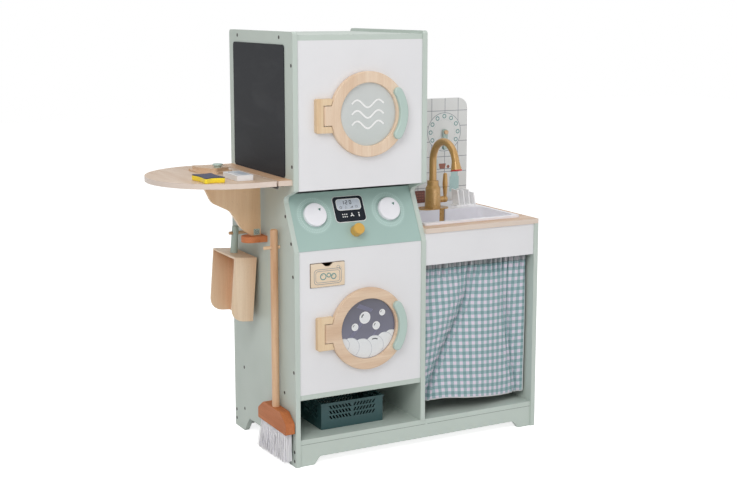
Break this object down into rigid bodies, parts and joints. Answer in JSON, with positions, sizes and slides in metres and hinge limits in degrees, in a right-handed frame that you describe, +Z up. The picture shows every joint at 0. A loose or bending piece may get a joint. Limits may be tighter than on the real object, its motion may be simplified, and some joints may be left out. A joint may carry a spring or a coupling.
{
  "type": "toy laundry centre",
  "caption": "Wooden toy laundry tower with a dryer above a washer, a sink unit with tap and curtain, a fold-out side table and cleaning tools.",
  "frame": {"origin": "on the floor, under the middle of the whole object", "axes": "+X to the right as seen by the child who plays at it, +Y to the back, +Z up"},
  "size_m": [0.9434, 0.3866, 1],
  "materials": {
    "mint_board": "satin paint",
    "control_board": "satin paint",
    "white_board": "satin paint",
    "tiled_board": "printed, satin",
    "pale_wood": "clear satin lacquer",
    "plywood": "clear satin lacquer",
    "stick_wood": "clear satin lacquer",
    "terracotta_wood": "satin paint",
    "grip_mint": "satin paint",
    "mustard_wood": "satin paint",
    "smoke_window": "clear over an opaque print",
    "drum_window": "clear over an opaque print",
    "white_plastic": "semi-gloss",
    "gold_plastic": "semi-gloss",
    "red_plastic": "gloss",
    "slate_film": "matte",
    "teal_plastic": "matte",
    "bristle_plastic": "satin",
    "steel": "zinc plated",
    "gingham": "woven cotton check",
    "sponge_foam": "open foam with a dark scouring layer",
    "packet_board": "satin paint"
  },
  "bodies": {
    "cabinet": {"left_side_panel": "mint_board", "divider_panel": "mint_board", "right_side_panel": "mint_board", "top_board": "mint_board", "dryer_floor_board": "mint_board", "dryer_front": "white_board", "control_panel": "control_board", "washer_front": "white_board", "shelf_board": "mint_board", "floor_board": "mint_board", "front_plinth": "mint_board", "back_plinths": "mint_board", "back_panels": "white_board", "backsplash": "tiled_board", "worktop": "pale_wood", "sink_apron": "white_board", "blackboard": "slate_film", "panel_screws": "steel", "door_hinge_blocks": "plywood", "door_hinge_pins": "steel", "drawer_housing": "plywood", "display_plate": "slate_film", "sink_tub": "white_plastic", "dish_rack": "white_plastic", "tap_body": "gold_plastic", "curtain_rod": "pale_wood", "curtain": "gingham", "wooden_pegs": "pale_wood", "ledge_board": "pale_wood", "table_hinges_fixed": "steel", "pivot_block": "terracotta_wood"},
    "dryer_door": {"dryer_door_ring": "pale_wood", "dryer_window": "smoke_window", "dryer_door_grip": "grip_mint"},
    "washer_door": {"washer_door_ring": "pale_wood", "washer_window": "drum_window", "washer_door_grip": "grip_mint"},
    "soap_drawer": {"drawer_front": "plywood", "drawer_box": "plywood"},
    "dial_left": {"left_dial": "white_plastic"},
    "dial_right": {"right_dial": "white_plastic"},
    "start_key": {"start_button": "mustard_wood"},
    "spout": {"tap_spout": "gold_plastic", "nozzle_ring": "red_plastic"},
    "lever": {"tap_lever": "gold_plastic"},
    "clock": {"clock_hand": "grip_mint"},
    "leaf": {"table_leaf": "pale_wood", "table_hinges_moving": "steel"},
    "bracket": {"swing_bracket": "plywood", "pivot_fittings": "steel"},
    "broom": {"broom_stick": "stick_wood", "broom_head": "terracotta_wood", "broom_bristles": "bristle_plastic"},
    "pan": {"dustpan": "plywood", "dustpan_handle": "grip_mint"},
    "crate_box": {"crate": "teal_plastic"},
    "iron": {"iron_sole": "plywood", "iron_knob": "grip_mint"},
    "sponge_block": {"sponge": "sponge_foam"},
    "packet": {"soap_packet": "packet_board"}
  },
  "joints": [
    {"name": "dryer_door_hinge", "type": "hinge", "parent": "cabinet", "child": "dryer_door", "pos_m": [-0.1188, -0.17825, 0.813], "axis": [0, 0, -1], "range_deg": [0, 95]},
    {"name": "washer_door_hinge", "type": "hinge", "parent": "cabinet", "child": "washer_door", "pos_m": [-0.1188, -0.17825, 0.312], "axis": [0, 0, -1], "range_deg": [0, 95]},
    {"name": "soap_drawer_slide", "type": "slide", "parent": "cabinet", "child": "soap_drawer", "axis": [0, -1, 0], "range_m": [0, 0.07]},
    {"name": "left_dial_turn", "type": "hinge", "parent": "cabinet", "child": "dial_left", "pos_m": [-0.1268, -0.13463, 0.58195], "axis": [0, -0.8898, 0.4563], "continuous": true},
    {"name": "right_dial_turn", "type": "hinge", "parent": "cabinet", "child": "dial_right", "pos_m": [0.0662, -0.13463, 0.58195], "axis": [0, -0.8898, 0.4563], "continuous": true},
    {"name": "start_key_push", "type": "slide", "parent": "cabinet", "child": "start_key", "axis": [0, 0.8898, -0.4563], "range_m": [0, 0.003], "stiffness_N_per_m": 300, "springref_m": -0.002},
    {"name": "spout_swivel", "type": "hinge", "parent": "cabinet", "child": "spout", "pos_m": [0.3037, 0.05725, 0.6625], "axis": [0, 0, 1], "range_deg": [-110, 110]},
    {"name": "lever_tilt", "type": "hinge", "parent": "cabinet", "child": "lever", "pos_m": [0.3037, 0.05725, 0.562], "axis": [1, 0, 0], "range_deg": [0, 80]},
    {"name": "clock_hand_turn", "type": "hinge", "parent": "cabinet", "child": "clock", "pos_m": [0.3997, 0.16125, 0.7245], "axis": [0, -1, 0], "continuous": true},
    {"name": "leaf_lift", "type": "hinge", "parent": "cabinet", "child": "leaf", "pos_m": [-0.2325, -0.00275, 0.657], "axis": [0, 1, 0], "range_deg": [0, 15]},
    {"name": "bracket_swing", "type": "hinge", "parent": "cabinet", "child": "bracket", "pos_m": [-0.2163, -0.00275, 0.66], "axis": [0, 0, 1], "range_deg": [-90, 90]},
    {"name": "broom_lift_off", "type": "slide", "parent": "cabinet", "child": "broom", "axis": [-1, 0, 0], "range_m": [0, 0.05]},
    {"name": "dustpan_lift_off", "type": "slide", "parent": "cabinet", "child": "pan", "axis": [-1, 0, 0], "range_m": [0, 0.05]},
    {"name": "crate_pull_out", "type": "slide", "parent": "cabinet", "child": "crate_box", "axis": [0, -1, 0], "range_m": [0, 0.17]},
    {"name": "iron_lift_off", "type": "slide", "parent": "leaf", "child": "iron", "axis": [0, 0, 1], "range_m": [0, 0.06]},
    {"name": "sponge_lift_off", "type": "slide", "parent": "leaf", "child": "sponge_block", "axis": [0, 0, 1], "range_m": [0, 0.06]},
    {"name": "packet_lift_off", "type": "slide", "parent": "leaf", "child": "packet", "axis": [0, 0, 1], "range_m": [0, 0.06]}
  ]
}
